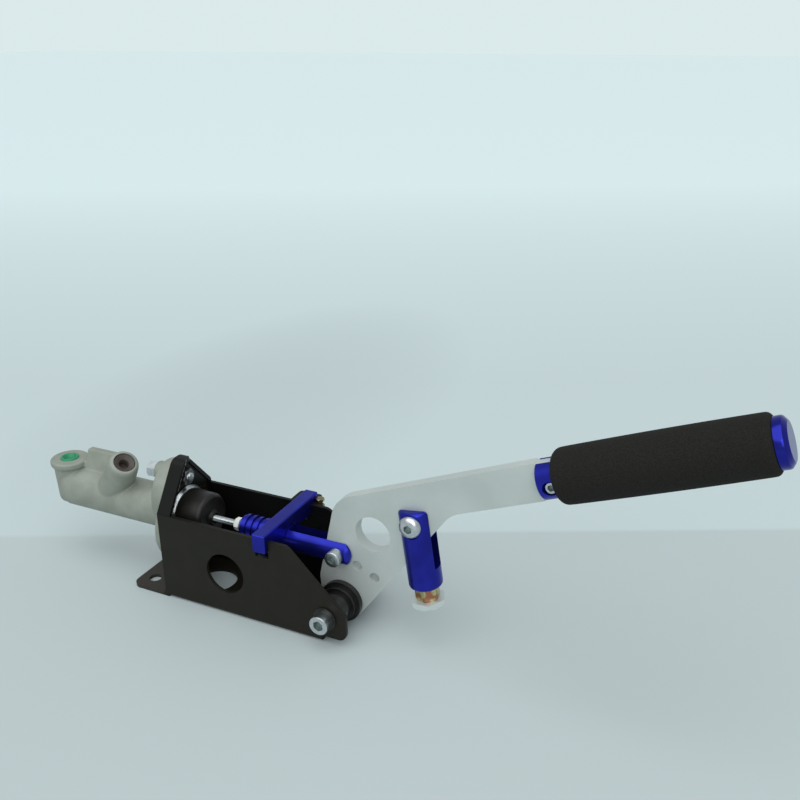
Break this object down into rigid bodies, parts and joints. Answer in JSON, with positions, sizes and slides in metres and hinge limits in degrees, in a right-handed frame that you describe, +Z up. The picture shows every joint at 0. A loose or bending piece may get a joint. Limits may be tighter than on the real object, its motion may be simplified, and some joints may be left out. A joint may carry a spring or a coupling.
{
  "type": "hydraulic handbrake",
  "caption": "Hydraulic handbrake with a floor bracket, master cylinder, pivoting alloy lever, foam grip and a push rod with clevis fork.",
  "frame": {"origin": "centre of the four floor holes, on the mounting face", "axes": "+X from the cylinder towards the grip, +Z up from the floor, Y across the bracket"},
  "size_m": [0.62, 0.0985, 0.2376],
  "materials": {
    "black_coat": "semi-gloss powder coat",
    "cast_alloy": "fine cast, bead blasted",
    "lever_alloy": "satin, lightly brushed",
    "blue_alloy": "polished and blue anodised",
    "bright_zinc": "bright zinc plate",
    "pale_zinc": "pale greenish zinc plate",
    "yellow_zinc": "yellow passivated zinc",
    "black_steel": "black oxide, semi-gloss",
    "inner_steel": "ground",
    "boot_rubber": "matte moulded",
    "foam": "closed-cell foam, matte",
    "green_plastic": "satin moulded",
    "brown_plastic": "dark moulded",
    "bearing_bronze": "turned"
  },
  "bodies": {
    "base": {"bracket": "black_coat", "cylinder_body": "cast_alloy", "outlet_plug": "green_plastic", "inlet_plug": "brown_plastic", "flange_bolts": "bright_zinc", "flange_nuts": "black_steel", "boot_ring": "bright_zinc", "rod_boot": "boot_rubber", "circlip": "inner_steel", "return_spring": "inner_steel", "cross_bar": "blue_alloy", "ear_screw": "yellow_zinc", "ear_nuts": "yellow_zinc", "pivot_bolt": "bright_zinc", "pivot_washers": "bright_zinc", "pivot_nut": "bright_zinc", "pivot_sleeve": "inner_steel", "pivot_spacer_near": "black_steel", "pivot_spacer_far": "black_steel"},
    "lever": {"lever_plate": "lever_alloy", "pivot_bush": "bearing_bronze", "handle_tube": "blue_alloy", "handle_screws": "bright_zinc", "foam_grip": "foam", "end_cap": "blue_alloy"},
    "rod": {"push_rod": "bright_zinc", "jam_nut": "bright_zinc", "clevis_fork": "blue_alloy", "fork_bolt": "bright_zinc", "fork_nut": "bright_zinc"},
    "piston": {"piston": "lever_alloy", "pressure_seal": "boot_rubber", "wiper_seal": "boot_rubber"},
    "link": {"link_barrel": "blue_alloy", "barrel_bolt": "bright_zinc", "barrel_nut": "bright_zinc", "link_stud": "yellow_zinc", "lock_nut": "yellow_zinc", "foot_nut": "pale_zinc"}
  },
  "joints": [
    {"name": "lever_pull", "type": "hinge", "parent": "base", "child": "lever", "pos_m": [0.1095, 0, 0.023], "axis": [0, -1, 0], "range_deg": [0, 20], "stiffness_Nm_per_rad": 3, "springref_deg": -5.73},
    {"name": "rod_hinge", "type": "hinge", "parent": "lever", "child": "rod", "pos_m": [0.10725, 0, 0.06594], "axis": [0, -1, 0], "range_deg": [-22, 1]},
    {"name": "piston_slide", "type": "slide", "parent": "base", "child": "piston", "axis": [-1, 0, 0], "range_m": [0, 0.0155], "deforming": ["return_spring"]},
    {"name": "link_swing", "type": "hinge", "parent": "lever", "child": "link", "pos_m": [0.1734, 0, 0.109], "axis": [0, -1, 0], "range_deg": [0, 60]}
  ],
  "couplings": [
    {"joint": "rod_hinge", "follows": "lever_pull", "ratio": -1.047},
    {"joint": "piston_slide", "follows": "lever_pull", "m_per_rad": 0.0415}
  ]
}
